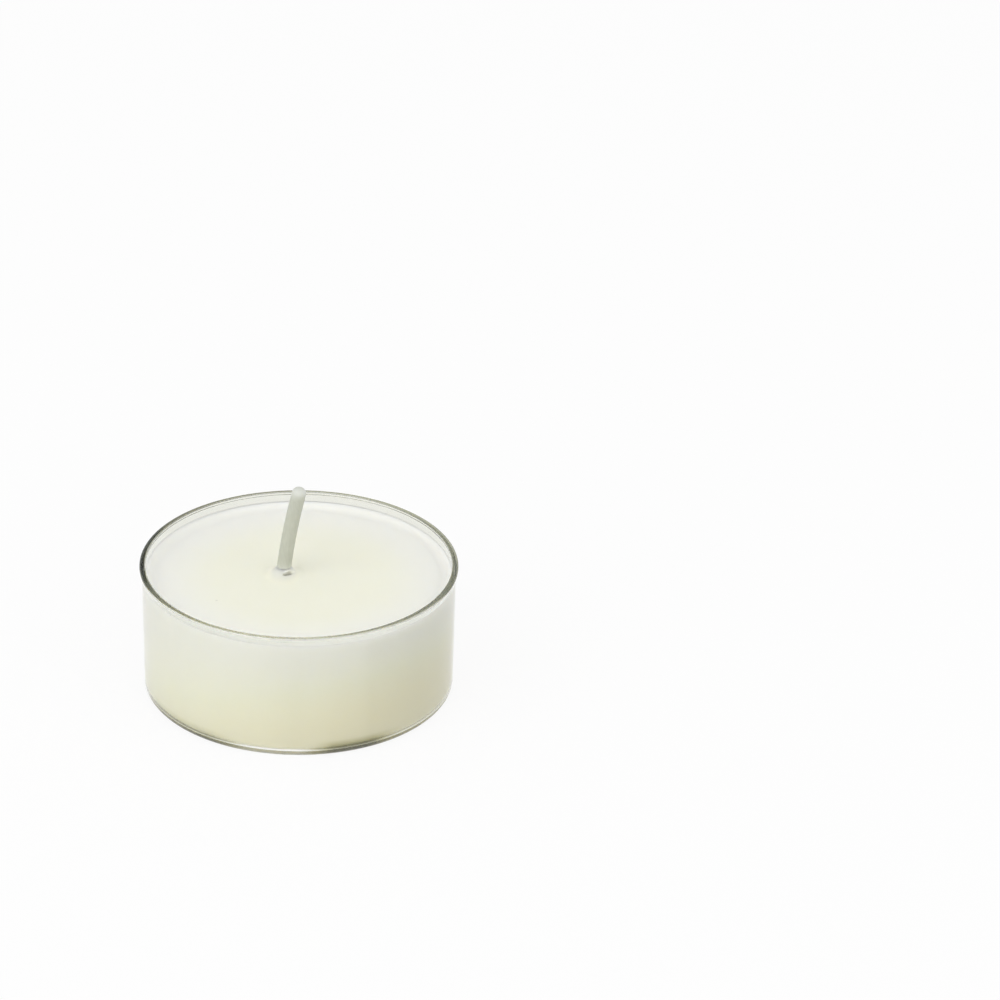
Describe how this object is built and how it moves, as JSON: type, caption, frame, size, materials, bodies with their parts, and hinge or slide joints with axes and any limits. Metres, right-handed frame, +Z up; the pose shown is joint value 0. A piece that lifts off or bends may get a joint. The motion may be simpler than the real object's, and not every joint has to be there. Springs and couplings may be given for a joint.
{
  "type": "tea light candle",
  "caption": "Small round candle poured in a shallow clear cup, with a waxed wick that leans a little and stands above the rim.",
  "frame": {"origin": "on the table, under the middle of the object's box, which is the middle of the cup's foot", "axes": "+Z up out of the cup's mouth; the wick leans from the -X +Y side back over the middle"},
  "size_m": [0.039, 0.039, 0.0269],
  "materials": {
    "clear_polycarbonate": "clear, polished by the mould",
    "ivory_wax": "soft satin, slightly translucent",
    "waxed_cotton": "smooth, soaked in wax",
    "tinned_steel": "bright tin, rolled"
  },
  "bodies": {
    "root": {"cup": "clear_polycarbonate", "wax": "ivory_wax", "wick": "waxed_cotton", "wick_sustainer": "tinned_steel"}
  },
  "joints": []
}
